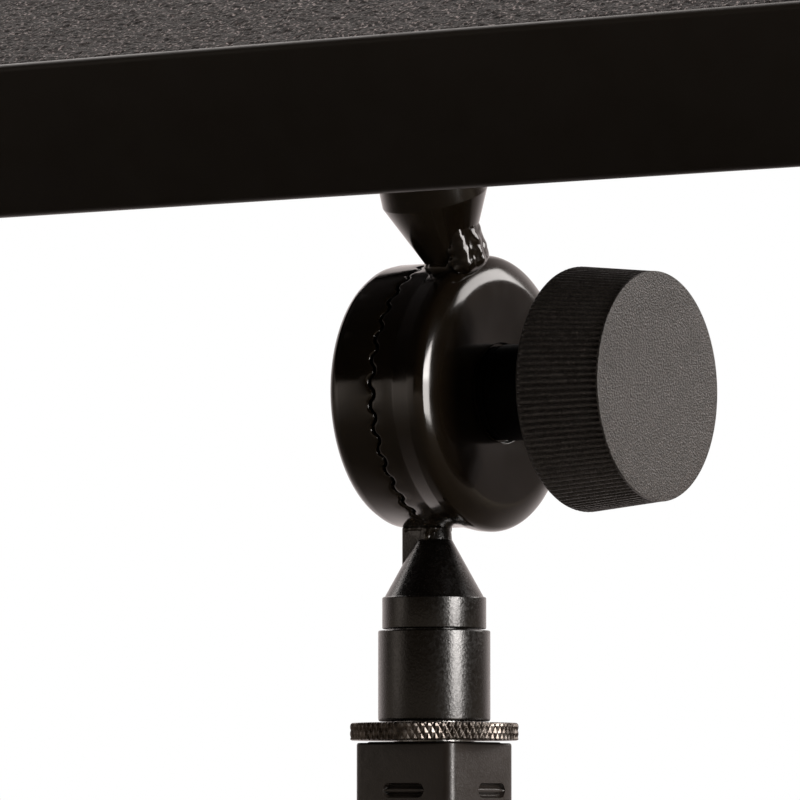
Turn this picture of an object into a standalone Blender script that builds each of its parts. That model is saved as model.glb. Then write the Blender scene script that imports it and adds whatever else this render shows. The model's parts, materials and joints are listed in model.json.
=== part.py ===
"""Music stand: a foam-topped tray on a toothed tilt clutch, a screw-on adaptor and a telescoping mast.

Units are metres and +Z is up. The origin is on the floor under the mast's axis. The player stands on
the -Y side, and the tilt knob points along +X, which is also the clutch's axis.
"""

import math

import bmesh
import bpy
from mathutils import Matrix, Vector

# Driving dimensions
GAP = 0.0003                      # between pieces that touch
CLUTCH_HEIGHT = 0.960             # clutch centre above the floor
TRAY_TILT = math.radians(22)      # of the tray's surface about X, at rest
WASHER_THICKNESS = 0.0015
ROUND = 56                        # segments of a large round piece
SMALL_ROUND = 28                  # segments of a small round piece

# Tray, in the desk's own axes: +Z is the tray's normal, -Y runs down its slope, origin at the clutch
TRAY_LENGTH = 0.356
TRAY_DEPTH = 0.254
TRAY_FRONT = -0.118               # the front edge
TRAY_TOP = 0.1021                 # the lip round the tray, and the foam inside it
SHEET = 0.0015
APRON = 0.0283                    # height of the sides, with the lip
FOAM_THICKNESS = 0.003
RECESS = FOAM_THICKNESS + GAP     # from the lip down to the sheet under the foam
SHEET_TOP = TRAY_TOP - RECESS
TRAY_BACK = TRAY_FRONT + TRAY_DEPTH

# Clutch and its knob, along X
SEAM_X = 0.0024                   # plane where the two cups meet
CUP_R = 0.0260
CUP_RIM_R = 0.0267                # where the front cup's band flares
BACK_CUP_DEPTH = 0.0107
FRONT_CUP_DEPTH = 0.0141
BOLT_R = 0.0040
BOLT_BORE_R = 0.0044
SPRING_POCKET_R = 0.0090
SPRING_POCKET_DEPTH = 0.0045
KNOB_BACK_X = SEAM_X + 0.0308
KNOB_FRONT_X = SEAM_X + 0.0491
KNOB_BACK_R = 0.0238
KNOB_FRONT_R = 0.0222
HUB_R = 0.0094

# Upper stem, in the desk's axes
STEM_X = 0.0101
STEM_R = 0.0104
STEM_TIP = CUP_RIM_R + GAP
STEM_CONE_TOP = 0.0407
CHANNEL_WEB = 0.0760              # underside of the tray channel's web
CHANNEL_SHEET = 0.0020
CHANNEL_LENGTH = 0.190
CHANNEL_HALF = 0.024              # half width over the channel's walls
CHANNEL_FLANGE = 0.016
STUD_X = 0.078                    # of the tray's studs, from the stem
STUD_R = 0.0025

# Lower neck, sleeve and lock ring: heights from the clutch centre
NECK_TIP = -CUP_R - GAP
NECK_CONE_TOP = -0.0283
NECK_CONE_BASE = -0.0395
NECK_STEP = -0.0458
NECK_R = 0.0102
NECK_SPIGOT_R = 0.0076
NECK_SPIGOT_END = -0.0520
SLEEVE_R = 0.0110
SLEEVE_BORE_R = 0.0083
SLEEVE_END = -0.0639
RING_R = 0.0165
RING_TOP = -0.0642
RING_END = -0.0676
STUD_THREAD_R = 0.0079
STUD_TOP = -0.0525
PLUG_TOP = -0.0679
MAST_TOP = -0.0681
PLUG_DEPTH = 0.0260

# Mast
INNER_HALF = 0.0115
INNER_WALL = 0.0015
INNER_BOTTOM_Z = 0.320
OUTER_HALF = 0.0150
OUTER_WALL = 0.0018
OUTER_BOTTOM_Z = 0.0165
OUTER_TOP_Z = 0.620
BUSHING_LENGTH = 0.040
BUSHING_RIM = 0.0025
COLLAR_HALF = 0.0195
COLLAR_HEIGHT = 0.042
COLLAR_BOSS_R = 0.0110
COLLAR_BOSS_END = 0.0290
HEIGHT_SCREW_Z = OUTER_TOP_Z - 0.022
HEIGHT_SCREW_R = 0.0040
HEIGHT_KNOB_X = 0.0330
HEIGHT_KNOB_LENGTH = 0.0220
HEIGHT_KNOB_R = 0.0190
HEIGHT_KNOB_LOBES = 6

# Base
HUB_HALF = 0.0330                 # across the hub's flats
HUB_TOP_Z = 0.0480
LEG_HALF = 0.0127
LEG_WALL = 0.0016
LEG_AXIS_Z = 0.0240
LEG_REACH = 0.2900                # leg's outer end from the mast's axis
SPIGOT_HALF = LEG_HALF - LEG_WALL - GAP
SPIGOT_LENGTH = 0.0340
FOOT_LENGTH = 0.0280
FOOT_WALL = 0.0025
FOOT_COVER = 0.0220               # of the leg's end
LEG_COUNT = 4


def clear_scene():
    for item in list(bpy.data.objects):
        bpy.data.objects.remove(item, do_unlink=True)


def material(name, colour, roughness, metallic=0.0):
    made = bpy.data.materials.new(name)
    made.use_nodes = True
    shader = made.node_tree.nodes["Principled BSDF"]
    shader.inputs["Base Color"].default_value = (*colour, 1.0)
    shader.inputs["Roughness"].default_value = roughness
    shader.inputs["Metallic"].default_value = metallic
    return made


def empty(name, place=(0, 0, 0), turn=(0, 0, 0), parent=None):
    made = bpy.data.objects.new(name, None)
    made.location = place
    made.rotation_euler = turn
    made.parent = parent
    bpy.context.collection.objects.link(made)
    return made


def finish(name, mesh, finish_material, parent=None, smooth=True):
    """Turns a bmesh into a named object with outward faces."""
    bmesh.ops.recalc_face_normals(mesh, faces=mesh.faces)
    data = bpy.data.meshes.new(name)
    mesh.to_mesh(data)
    mesh.free()
    if smooth:
        data.shade_smooth()
        data.set_sharp_from_angle(angle=math.radians(30))
    if finish_material:
        data.materials.append(finish_material)
    made = bpy.data.objects.new(name, data)
    made.parent = parent
    bpy.context.collection.objects.link(made)
    return made


def add_box(mesh, low, high):
    size = [b - a for a, b in zip(low, high)]
    middle = [(a + b) / 2 for a, b in zip(low, high)]
    place = Matrix.Translation(middle) @ Matrix.Diagonal((*size, 1.0))
    return bmesh.ops.create_cube(mesh, size=1.0, matrix=place)["verts"]


def box(name, low, high, finish_material, parent=None, bevel=0.0):
    mesh = bmesh.new()
    add_box(mesh, low, high)
    if bevel:
        bmesh.ops.bevel(mesh, geom=mesh.edges[:], offset=bevel, segments=2, affect="EDGES", profile=0.5)
    return finish(name, mesh, finish_material, parent)


def add_turned(mesh, profile, segments, turn=Matrix()):
    """Turns (radius, height) points about Z. Points on the axis close the ends; with none, it's a ring."""
    solid = profile[0][0] == 0 and profile[-1][0] == 0
    rings = []
    for radius, height in profile:
        if radius == 0:
            rings.append([mesh.verts.new(turn @ Vector((0, 0, height)))])
            continue
        ring = []
        for step in range(segments):
            angle = 2 * math.pi * step / segments
            point = Vector((radius * math.cos(angle), radius * math.sin(angle), height))
            ring.append(mesh.verts.new(turn @ point))
        rings.append(ring)
    pairs = list(zip(rings, rings[1:]))
    if not solid:
        pairs.append((rings[-1], rings[0]))
    for low, high in pairs:
        for step in range(segments):
            after = (step + 1) % segments
            corners = [low[step % len(low)], low[after % len(low)]]
            corners += [high[after % len(high)], high[step % len(high)]]
            mesh.faces.new(dict.fromkeys(corners))


def turned(name, profile, finish_material, parent=None, segments=ROUND, turn=Matrix()):
    mesh = bmesh.new()
    add_turned(mesh, profile, segments, turn)
    return finish(name, mesh, finish_material, parent)


def arc(middle, radius, start, end, steps):
    """Points of an arc in the (radius, height) plane, angles in degrees."""
    points = []
    for step in range(steps + 1):
        angle = math.radians(start + (end - start) * step / steps)
        points.append((middle[0] + radius * math.cos(angle), middle[1] + radius * math.sin(angle)))
    return points


def rounded_square(half, radius, steps=3):
    """Outline of a square tube's section, counter-clockwise."""
    points = []
    for corner in range(4):
        facing = 45 + 90 * corner
        side_x = 1 if math.cos(math.radians(facing)) > 0 else -1
        side_y = 1 if math.sin(math.radians(facing)) > 0 else -1
        middle = ((half - radius) * side_x, (half - radius) * side_y)
        points += arc(middle, radius, facing - 45, facing + 45, steps)
    return points


def add_prism(mesh, outline, low, high, turn=Matrix()):
    bottom = [mesh.verts.new(turn @ Vector((x, y, low))) for x, y in outline]
    top = [mesh.verts.new(turn @ Vector((x, y, high))) for x, y in outline]
    mesh.faces.new(bottom)
    mesh.faces.new(top)
    for step in range(len(outline)):
        after = (step + 1) % len(outline)
        mesh.faces.new((bottom[step], bottom[after], top[after], top[step]))


def prism(name, outline, low, high, finish_material, parent=None, turn=Matrix()):
    mesh = bmesh.new()
    add_prism(mesh, outline, low, high, turn)
    return finish(name, mesh, finish_material, parent)


def tube(name, outer, inner, low, high, finish_material, parent=None, turn=Matrix()):
    """Extrudes the space between two outlines with the same number of points."""
    mesh = bmesh.new()
    rings = []
    for outline, height in ((outer, low), (outer, high), (inner, high), (inner, low)):
        rings.append([mesh.verts.new(turn @ Vector((x, y, height))) for x, y in outline])
    for ring, following in zip(rings, rings[1:] + rings[:1]):
        for step in range(len(ring)):
            after = (step + 1) % len(ring)
            mesh.faces.new((ring[step], ring[after], following[after], following[step]))
    return finish(name, mesh, finish_material, parent)


def cut(target, cutter):
    """Takes the cutter's volume out of the target."""
    cutter.hide_render = True
    cutter.display_type = "WIRE"
    cutting = target.modifiers.new("cut_" + cutter.name, "BOOLEAN")
    cutting.operation = "DIFFERENCE"
    cutting.solver = "EXACT"
    cutting.object = cutter


def weld(target, extra):
    """Joins the extra object's volume to the target."""
    extra.hide_render = True
    extra.display_type = "WIRE"
    joining = target.modifiers.new("weld_" + extra.name, "BOOLEAN")
    joining.operation = "UNION"
    joining.solver = "EXACT"
    joining.object = extra


def drill(name, radius, low, high, place, parent=None, turn=Matrix()):
    """A round cutter along its own Z."""
    profile = [(0, low), (radius, low), (radius, high), (0, high)]
    return turned(name, profile, None, parent, SMALL_ROUND, Matrix.Translation(place) @ turn)


ALONG_X = Matrix.Rotation(math.radians(90), 4, "Y")    # turns local +Z to +X


def hexagon(across_flats):
    radius = across_flats / math.sqrt(3)
    angles = [math.radians(60 * corner) for corner in range(6)]
    return [(radius * math.cos(angle), radius * math.sin(angle)) for angle in angles]


# Materials

def make_materials():
    return {
        "satin_paint": material("satin_paint", (0.012, 0.011, 0.010), 0.45),
        "gloss_paint": material("gloss_paint", (0.008, 0.008, 0.008), 0.18),
        "foam": material("foam", (0.045, 0.040, 0.040), 0.95),
        "knurled_steel": material("knurled_steel", (0.060, 0.055, 0.050), 0.35, 1.0),
        "plated_steel": material("plated_steel", (0.500, 0.500, 0.500), 0.30, 1.0),
        "knob_plastic": material("knob_plastic", (0.030, 0.028, 0.027), 0.60),
        "rubber": material("rubber", (0.015, 0.015, 0.015), 0.85),
    }


# Desk: the tray, its channel and the upper half of the clutch

def make_tray(paints, desk):
    """A pan open underneath, with a foam pad let in flush with the lip round its top."""
    half = TRAY_LENGTH / 2
    low = (STEM_X - half, TRAY_FRONT, TRAY_TOP - APRON)
    high = (STEM_X + half, TRAY_BACK, TRAY_TOP)
    pan = box("tray_pan", low, high, paints["satin_paint"], desk)
    inside_low = (low[0] + SHEET, low[1] + SHEET, low[2] - SHEET)
    inside_high = (high[0] - SHEET, high[1] - SHEET, SHEET_TOP - SHEET)
    cut(pan, box("pan_hollow", inside_low, inside_high, None, desk))
    recess_low = (low[0] + SHEET, low[1] + SHEET, SHEET_TOP)
    recess_high = (high[0] - SHEET, high[1] - SHEET, TRAY_TOP + SHEET)
    cut(pan, box("pan_recess", recess_low, recess_high, None, desk))
    edge = SHEET + GAP
    foam_low = (low[0] + edge, low[1] + edge, SHEET_TOP + GAP)
    foam_high = (high[0] - edge, high[1] - edge, TRAY_TOP)
    box("foam_pad", foam_low, foam_high, paints["foam"], desk)


def channel_outline():
    """Section of the hat-shaped channel, as (y, z) points round the folded sheet."""
    top = SHEET_TOP - SHEET - GAP
    flange = CHANNEL_HALF + CHANNEL_FLANGE
    inner = CHANNEL_HALF - CHANNEL_SHEET
    return [
        (-flange, top), (-flange, top - CHANNEL_SHEET), (-CHANNEL_HALF, top - CHANNEL_SHEET),
        (-CHANNEL_HALF, CHANNEL_WEB), (CHANNEL_HALF, CHANNEL_WEB), (CHANNEL_HALF, top - CHANNEL_SHEET),
        (flange, top - CHANNEL_SHEET), (flange, top), (inner, top),
        (inner, CHANNEL_WEB + CHANNEL_SHEET), (-inner, CHANNEL_WEB + CHANNEL_SHEET), (-inner, top),
    ]


def stud_places():
    """Centres of the tray's four studs on the channel's flanges."""
    reach = CHANNEL_HALF + CHANNEL_FLANGE / 2
    return [(STEM_X + side * STUD_X, edge * reach) for side in (-1, 1) for edge in (-1, 1)]


def make_channel(paints, desk):
    lay_along_x = Matrix(((0, 0, 1, 0), (1, 0, 0, 0), (0, 1, 0, 0), (0, 0, 0, 1)))
    start = STEM_X - CHANNEL_LENGTH / 2
    end = STEM_X + CHANNEL_LENGTH / 2
    channel = prism("tray_channel", channel_outline(), start, end, paints["satin_paint"], desk, lay_along_x)
    stem_hole = (STEM_X, 0, CHANNEL_WEB)
    cut(channel, drill("channel_stem_hole", 0.0054, -0.004, 0.006, stem_hole, desk))
    flange_top = SHEET_TOP - SHEET - GAP
    flange_low = flange_top - CHANNEL_SHEET
    nut_height = 0.0045
    for number, (x, y) in enumerate(stud_places(), 1):
        cut(channel, drill(f"flange_hole_{number}", STUD_R + GAP, -0.004, 0.004, (x, y, flange_top), desk))
        stud_profile = [(0, flange_low - 0.0075), (STUD_R - 0.0004, flange_low - 0.0075)]
        stud_profile += [(STUD_R, flange_low - 0.0070), (STUD_R, flange_top), (0, flange_top)]
        place = Matrix.Translation((x, y, 0))
        turned(f"tray_stud_{number}", stud_profile, paints["plated_steel"], desk, SMALL_ROUND, place)
        nut_low = flange_low - GAP - nut_height
        make_nut(f"tray_nut_{number}", 0.008, STUD_R + GAP, nut_low, nut_height, (x, y), paints, desk)


def make_nut(name, across_flats, bore, low, height, place, paints, parent):
    move = Matrix.Translation((place[0], place[1], 0))
    nut = prism(name, hexagon(across_flats), low, low + height, paints["plated_steel"], parent, move)
    cut(nut, drill(name + "_bore", bore, low - 0.002, low + height + 0.002, (place[0], place[1], 0), parent))


def make_stem(paints, desk):
    """Turned collar, coned down to a welded lug on the front cup, with a spigot through the channel."""
    tip_r = 0.0042
    spigot_r = 0.0050
    collar_top = CHANNEL_WEB - GAP
    spigot_top = CHANNEL_WEB + 0.0160
    profile = [(0, STEM_TIP), (tip_r, STEM_TIP), (STEM_R, STEM_CONE_TOP), (STEM_R, collar_top - 0.0008)]
    profile += [(STEM_R - 0.0008, collar_top), (spigot_r, collar_top), (spigot_r, spigot_top), (0, spigot_top)]
    place = Matrix.Translation((STEM_X, 0, 0))
    stem = turned("upper_stem", profile, paints["gloss_paint"], desk, 40, place)
    lug_low = (STEM_X, -0.0030, STEM_TIP)
    lug_high = (STEM_X + 0.0062, 0.0030, STEM_TIP + 0.0060)
    weld(stem, box("stem_lug", lug_low, lug_high, None, desk, 0.0008))
    washer_low = CHANNEL_WEB + CHANNEL_SHEET + GAP
    washer_top = washer_low + WASHER_THICKNESS
    washer = [(0.0054, washer_low), (0.0100, washer_low), (0.0100, washer_top), (0.0054, washer_top)]
    turned("stem_washer", washer, paints["plated_steel"], desk, 32, place)
    nut_low = washer_top + GAP
    make_nut("stem_nut", 0.016, spigot_r + GAP, nut_low, 0.0080, (STEM_X, 0), paints, desk)


def make_front_cup(paints, desk):
    """Front half of the clutch: a band, a tight rim, a full shoulder and a shallow dished face."""
    start = SEAM_X + GAP / 2
    face = SEAM_X + FRONT_CUP_DEPTH
    rim_r = 0.0012
    shoulder_r = 0.0087
    meeting = math.radians(57)    # slope at which the rim runs into the shoulder
    inward = shoulder_r - rim_r
    rim_middle = (CUP_RIM_R - rim_r, face - shoulder_r + inward * math.sin(meeting))
    shoulder_middle = (rim_middle[0] - inward * math.cos(meeting), face - shoulder_r)
    pocket_end = start + SPRING_POCKET_DEPTH
    profile = [(SPRING_POCKET_R, start), (CUP_R, start), (CUP_R, SEAM_X + 0.0055)]
    profile += arc(rim_middle, rim_r, -10, math.degrees(meeting), 4)
    profile += arc(shoulder_middle, shoulder_r, math.degrees(meeting), 90, 4)[1:]
    profile += [(0.0106, face), (0.0100, face - 0.0010), (BOLT_BORE_R, face - 0.0010)]
    profile += [(BOLT_BORE_R, pocket_end), (SPRING_POCKET_R, pocket_end)]
    turned("front_cup", profile, paints["gloss_paint"], desk, 64, ALONG_X)


# Head: the lower half of the clutch, its bolt, and the adaptor

def make_back_cup(paints, head):
    seam = SEAM_X - GAP / 2
    back = SEAM_X - BACK_CUP_DEPTH
    pocket_end = seam - SPRING_POCKET_DEPTH
    fillet_r = 0.0031
    profile = [(BOLT_BORE_R, back)]
    profile += arc((CUP_R - fillet_r, back + fillet_r), fillet_r, -90, 0, 5)
    profile += [(CUP_R, seam), (SPRING_POCKET_R, seam)]
    profile += [(SPRING_POCKET_R, pocket_end), (BOLT_BORE_R, pocket_end)]
    turned("back_cup", profile, paints["gloss_paint"], head, 64, ALONG_X)


def make_bolt(paints, head):
    """Domed head behind the back cup, and a shank through both cups into the knob's insert."""
    back = SEAM_X - BACK_CUP_DEPTH - GAP
    end = KNOB_FRONT_X - 0.0050
    profile = [(0, back - 0.0040), (0.0045, back - 0.0036), (0.0078, back - 0.0022), (0.0088, back)]
    profile += [(BOLT_R, back), (BOLT_R, end - 0.0008), (BOLT_R - 0.0008, end), (0, end)]
    turned("clutch_bolt", profile, paints["plated_steel"], head, 32, ALONG_X)


def make_spring(paints, head):
    """Compression spring that opens the clutch when the knob is loosened."""
    wire_r = 0.0006
    coil_r = 0.0067
    turns = 3.5
    steps_per_turn = 16
    start = SEAM_X - SPRING_POCKET_DEPTH + 0.0012
    end = SEAM_X + SPRING_POCKET_DEPTH - 0.0012
    curve = bpy.data.curves.new("clutch_spring", "CURVE")
    curve.dimensions = "3D"
    curve.bevel_depth = wire_r
    curve.bevel_resolution = 1
    curve.use_fill_caps = True
    wire = curve.splines.new("POLY")
    count = int(turns * steps_per_turn)
    wire.points.add(count)
    for step in range(count + 1):
        angle = 2 * math.pi * step / steps_per_turn
        along = start + (end - start) * step / count
        wire.points[step].co = (along, coil_r * math.cos(angle), coil_r * math.sin(angle), 1.0)
    curve.materials.append(paints["plated_steel"])
    spring = bpy.data.objects.new("clutch_spring", curve)
    spring.parent = head
    bpy.context.collection.objects.link(spring)


def make_neck(paints, head):
    """Cone with a blade milled on one side, a short cylinder, and a spigot pressed into the sleeve."""
    profile = [(0, NECK_SPIGOT_END), (NECK_SPIGOT_R, NECK_SPIGOT_END), (NECK_SPIGOT_R, NECK_STEP)]
    profile += [(NECK_R, NECK_STEP), (NECK_R, NECK_CONE_BASE - 0.0004), (NECK_R - 0.0004, NECK_CONE_BASE)]
    profile += [(0.0035, NECK_CONE_TOP), (0.0033, NECK_TIP), (0, NECK_TIP)]
    neck = turned("lower_neck", profile, paints["gloss_paint"], head, 48)
    blade_low = (-0.0057, -0.0031, NECK_CONE_BASE + 0.0010)
    blade_high = (0.0020, 0.0031, NECK_TIP)
    weld(neck, box("neck_blade", blade_low, blade_high, None, head))


def make_sleeve(paints, head):
    top = NECK_STEP - GAP
    chamfer = 0.0006
    profile = [(SLEEVE_BORE_R, SLEEVE_END), (SLEEVE_R - chamfer, SLEEVE_END), (SLEEVE_R, SLEEVE_END + chamfer)]
    profile += [(SLEEVE_R, top - chamfer), (SLEEVE_R - chamfer, top), (SLEEVE_BORE_R, top)]
    turned("threaded_sleeve", profile, paints["satin_paint"], head, 48)


def make_lock_ring(paints, ring):
    chamfer = 0.0004
    bore = STUD_THREAD_R + GAP
    profile = [(bore, RING_END), (RING_R - chamfer, RING_END), (RING_R, RING_END + chamfer)]
    profile += [(RING_R, RING_TOP - chamfer), (RING_R - chamfer, RING_TOP), (bore, RING_TOP)]
    turned("lock_ring", profile, paints["knurled_steel"], ring, 64)


# Tilt knob

def make_tilt_knob(paints, knob):
    """Round knob on a threaded insert, with a hub that bears on the clutch through a thrust washer."""
    insert_r = 0.0072
    socket_end = KNOB_FRONT_X - 0.0035
    back_edge_r = 0.0020
    front_edge_r = 0.0002
    profile = [(insert_r + GAP, KNOB_BACK_X)]
    profile += arc((KNOB_BACK_R - back_edge_r, KNOB_BACK_X + back_edge_r), back_edge_r, -90, 0, 3)
    profile += [(KNOB_FRONT_R, KNOB_FRONT_X - front_edge_r), (KNOB_FRONT_R - front_edge_r, KNOB_FRONT_X)]
    profile += [(0, KNOB_FRONT_X)]
    closed = [(0, socket_end), (insert_r + GAP, socket_end)] + profile
    turned("tilt_knob", closed, paints["knob_plastic"], knob, 64, ALONG_X)
    insert_start = KNOB_BACK_X + GAP
    insert_end = socket_end - 0.0010
    bore = BOLT_R + GAP
    insert = [(bore, insert_start), (insert_r, insert_start), (insert_r, insert_end), (bore, insert_end)]
    turned("knob_insert", insert, paints["plated_steel"], knob, 32, ALONG_X)
    cup_face = SEAM_X + FRONT_CUP_DEPTH - 0.0010
    washer_start = cup_face + GAP
    washer_end = washer_start + 0.0012
    washer_r = HUB_R - 0.0002
    washer = [(bore, washer_start), (washer_r, washer_start), (washer_r, washer_end), (bore, washer_end)]
    turned("thrust_washer", washer, paints["plated_steel"], knob, 40, ALONG_X)
    hub_start = washer_end + GAP
    hub_end = KNOB_BACK_X - GAP
    chamfer = 0.0006
    hub = [(bore, hub_start), (HUB_R - chamfer, hub_start), (HUB_R, hub_start + chamfer)]
    hub += [(HUB_R, hub_end), (bore, hub_end)]
    turned("knob_hub", hub, paints["knob_plastic"], knob, 48, ALONG_X)


# Mast

def make_inner_mast(paints, mast):
    top = CLUTCH_HEIGHT + MAST_TOP
    outer = rounded_square(INNER_HALF, 0.0010)
    inner = rounded_square(INNER_HALF - INNER_WALL, 0.0005)
    tube("inner_mast", outer, inner, INNER_BOTTOM_Z, top, paints["satin_paint"], mast)
    plug_half = INNER_HALF - INNER_WALL - GAP
    plug_top = CLUTCH_HEIGHT + PLUG_TOP
    plug = box("stud_plug", (-plug_half, -plug_half, top - PLUG_DEPTH), (plug_half, plug_half, plug_top),
               paints["plated_steel"], mast, 0.0005)
    stud_top = CLUTCH_HEIGHT + STUD_TOP
    stud = [(0, top - 0.010), (STUD_THREAD_R, top - 0.010), (STUD_THREAD_R, stud_top - 0.0008)]
    stud += [(STUD_THREAD_R - 0.0008, stud_top), (0, stud_top)]
    weld(plug, turned("plug_stud", stud, None, mast, 40))


def make_outer_mast(paints):
    outer = rounded_square(OUTER_HALF, 0.0025)
    inner = rounded_square(OUTER_HALF - OUTER_WALL, 0.0010)
    mast = tube("outer_mast", outer, inner, OUTER_BOTTOM_Z, OUTER_TOP_Z, paints["satin_paint"])
    screw_hole = (0, 0, HEIGHT_SCREW_Z)
    hole = drill("mast_screw_hole", 0.0050, OUTER_HALF - 0.004, OUTER_HALF + 0.002, screw_hole, None, ALONG_X)
    cut(mast, hole)
    make_bushing(paints)
    make_collar(paints)
    plug_half = OUTER_HALF - OUTER_WALL - GAP
    plug = box("mast_plug", (-plug_half, -plug_half, OUTER_BOTTOM_Z), (plug_half, plug_half, 0.045),
               paints["plated_steel"], None, 0.0010)
    cut(plug, drill("mast_plug_bore", 0.0053, 0.010, 0.038, (0, 0, 0)))


def make_bushing(paints):
    """Plastic liner between the two tubes, with a rim over the outer tube's end."""
    bore = INNER_HALF + GAP
    liner_half = OUTER_HALF - OUTER_WALL - GAP
    rim_low = OUTER_TOP_Z + GAP
    bushing = tube("mast_bushing", rounded_square(liner_half, 0.0008), rounded_square(bore, 0.0010),
                   OUTER_TOP_Z - BUSHING_LENGTH, rim_low + BUSHING_RIM, paints["knob_plastic"])
    rim = tube("bushing_rim", rounded_square(OUTER_HALF - 0.0004, 0.0022), rounded_square(bore, 0.0010),
               rim_low, rim_low + BUSHING_RIM, None)
    weld(bushing, rim)
    shoe_hole = (0, 0, HEIGHT_SCREW_Z)
    hole = drill("bushing_shoe_hole", 0.0053, bore - 0.001, liner_half + 0.001, shoe_hole, None, ALONG_X)
    cut(bushing, hole)


def make_collar(paints):
    """Cast collar on the outer tube, with a boss for the height screw."""
    top = OUTER_TOP_Z - 0.001
    low = top - COLLAR_HEIGHT
    outer = rounded_square(COLLAR_HALF, 0.0040)
    inner = rounded_square(OUTER_HALF + GAP, 0.0025)
    collar = tube("mast_collar", outer, inner, low, top, paints["satin_paint"])
    boss = [(0, COLLAR_HALF - 0.003), (COLLAR_BOSS_R, COLLAR_HALF - 0.003), (COLLAR_BOSS_R, COLLAR_BOSS_END)]
    boss += [(0, COLLAR_BOSS_END)]
    middle = Matrix.Translation((0, 0, HEIGHT_SCREW_Z)) @ ALONG_X
    weld(collar, turned("collar_boss", boss, None, None, 32, middle))
    screw_hole = (0, 0, HEIGHT_SCREW_Z)
    cut(collar, drill("collar_screw_hole", HEIGHT_SCREW_R + GAP, 0.012, 0.034, screw_hole, None, ALONG_X))


def make_height_clamp(paints, knob):
    """Screw with a lobed knob, which presses a shoe against the inner tube."""
    middle = Matrix.Translation((0, 0, HEIGHT_SCREW_Z)) @ ALONG_X
    shoe_start = INNER_HALF + GAP
    shoe_end = OUTER_HALF - OUTER_WALL + 0.0010
    shoe = [(0, shoe_start), (0.0048, shoe_start), (0.0048, shoe_end), (0, shoe_end)]
    turned("clamp_shoe", shoe, paints["plated_steel"], None, SMALL_ROUND, middle)
    knob_end = HEIGHT_KNOB_X + HEIGHT_KNOB_LENGTH
    screw_start = shoe_end + GAP
    screw_end = knob_end - 0.0060
    local = Matrix.Rotation(math.radians(90), 4, "Y")
    screw = [(0, screw_start), (HEIGHT_SCREW_R, screw_start), (HEIGHT_SCREW_R, screw_end), (0, screw_end)]
    turned("height_screw", screw, paints["plated_steel"], knob, SMALL_ROUND, local)
    outline = []
    steps = 72
    for step in range(steps):
        angle = 2 * math.pi * step / steps
        radius = HEIGHT_KNOB_R * (0.93 + 0.07 * math.cos(HEIGHT_KNOB_LOBES * angle))
        outline.append((radius * math.cos(angle), radius * math.sin(angle)))
    body = prism("height_knob", outline, HEIGHT_KNOB_X + 0.007, knob_end, paints["knob_plastic"], knob, local)
    neck_r = 0.0095
    neck_end = HEIGHT_KNOB_X + 0.009
    neck = [(0, HEIGHT_KNOB_X), (neck_r, HEIGHT_KNOB_X), (neck_r, neck_end), (0, neck_end)]
    weld(body, turned("height_knob_neck", neck, None, knob, 32, local))
    bore_start = HEIGHT_KNOB_X - 0.002
    bore = drill("height_knob_bore", HEIGHT_SCREW_R + GAP, bore_start, screw_end + GAP, (0, 0, 0), knob, local)
    cut(body, bore)


# Base

def octagon(across_flats_half):
    radius = across_flats_half / math.cos(math.radians(22.5))
    angles = [math.radians(22.5 + 45 * k) for k in range(8)]
    return [(radius * math.cos(a), radius * math.sin(a)) for a in angles]


def leg_direction(number):
    return Matrix.Rotation(math.radians(45 + 360 / LEG_COUNT * number), 4, "Z")


def make_base_hub(paints):
    """Octagonal block with a socket for the mast and a spigot for each leg."""
    hub_low = LEG_AXIS_Z - LEG_HALF
    hub = prism("base_hub", octagon(HUB_HALF), hub_low, HUB_TOP_Z, paints["satin_paint"])
    start = HUB_HALF - 0.004
    for number in range(LEG_COUNT):
        low = (start, -SPIGOT_HALF, LEG_AXIS_Z - SPIGOT_HALF)
        high = (HUB_HALF + SPIGOT_LENGTH, SPIGOT_HALF, LEG_AXIS_Z + SPIGOT_HALF)
        spigot = box(f"hub_spigot_{number + 1}", low, high, None)
        spigot.data.transform(leg_direction(number))
        weld(hub, spigot)
        place = leg_direction(number) @ Vector((HUB_HALF + SPIGOT_LENGTH / 2, 0, 0))
        cut(hub, drill(f"spigot_bore_{number + 1}", 0.0028, 0.018, 0.038, place))
    socket = rounded_square(OUTER_HALF + GAP, 0.0020)
    cut(hub, prism("hub_socket", socket, OUTER_BOTTOM_Z - GAP, HUB_TOP_Z + 0.004, None))
    cut(hub, drill("hub_bolt_hole", 0.0053, 0.005, OUTER_BOTTOM_Z + 0.002, (0, 0, 0)))


def make_base_bolt(paints):
    hub_low = LEG_AXIS_Z - LEG_HALF
    washer_top = hub_low - GAP
    washer_low = washer_top - WASHER_THICKNESS
    washer = [(0.0053, washer_low), (0.0110, washer_low), (0.0110, washer_top), (0.0053, washer_top)]
    turned("base_washer", washer, paints["plated_steel"], None, 32)
    head_top = washer_low - GAP
    shank_top = 0.0360
    bolt = prism("base_bolt", hexagon(0.016), head_top - 0.0060, head_top, paints["plated_steel"])
    shank = [(0, head_top - 0.001), (0.0050, head_top - 0.001), (0.0050, shank_top), (0, shank_top)]
    weld(bolt, turned("base_bolt_shank", shank, None, None, SMALL_ROUND))


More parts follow.
